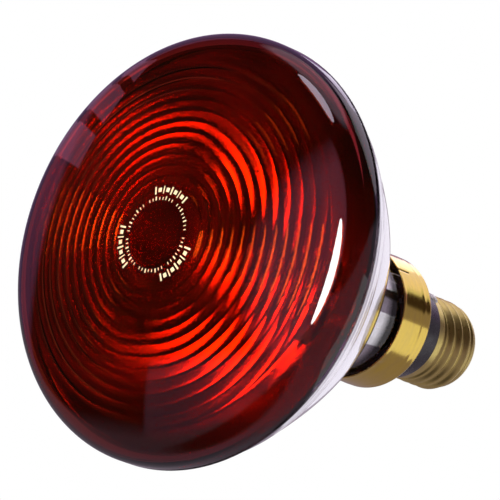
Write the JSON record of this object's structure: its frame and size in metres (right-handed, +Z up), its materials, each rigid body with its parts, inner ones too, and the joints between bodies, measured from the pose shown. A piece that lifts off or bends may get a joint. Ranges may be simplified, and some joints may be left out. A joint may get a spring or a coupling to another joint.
{
  "type": "infrared heat lamp",
  "caption": "Sealed reflector heat lamp with a domed red glass lens, silvered glass bowl, brass skirt collar and a screw cap.",
  "frame": {"origin": "middle of the solder pad on the centre contact, the face that a lampholder's spring contact touches", "axes": "+Y is the lamp's axis from the lens towards the screw cap, the lens faces -Y, +Z is up and the lamp hangs level from its lampholder"},
  "size_m": [0.122, 0.136, 0.122],
  "materials": {
    "ruby_glass": "deep red pressed glass, polished outside, ringed inside",
    "cream_ink": "matt fired ink",
    "clear_glass": "clear pressed glass, polished",
    "mirror_film": "vacuum deposited aluminium",
    "tungsten": "drawn wire, dull",
    "nickel_wire": "drawn wire, satin",
    "ferrule_metal": "drawn cup, satin",
    "collar_brass": "polished sheet with patina",
    "basing_cement": "matt, granular",
    "black_insulator": "glossy black moulding",
    "shell_brass": "rolled sheet, tarnished",
    "black_glass": "glossy black glass",
    "contact_brass": "stamped, satin",
    "solder": "dull grey solder",
    "copper_wire": "tinned copper wire",
    "woven_sleeve": "woven glass fibre"
  },
  "bodies": {
    "root": {"lens": "ruby_glass", "lens_print": "cream_ink", "reflector_bowl": "clear_glass", "mirror_coating": "mirror_film", "filament": "tungsten", "lead_wire_left": "nickel_wire", "lead_wire_right": "nickel_wire", "filament_support_wire": "nickel_wire", "ferrule_left": "ferrule_metal", "ferrule_right": "ferrule_metal", "ferrule_centre": "ferrule_metal", "exhaust_tube": "clear_glass", "skirt_collar": "collar_brass", "basing_cement": "basing_cement", "insulator_ring": "black_insulator", "screw_shell": "shell_brass", "base_button": "black_glass", "centre_contact": "contact_brass", "contact_solder": "solder", "side_solder": "solder", "lead_out_wire_centre": "copper_wire", "lead_out_wire_side": "copper_wire", "wire_sleeve": "woven_sleeve"}
  },
  "joints": []
}
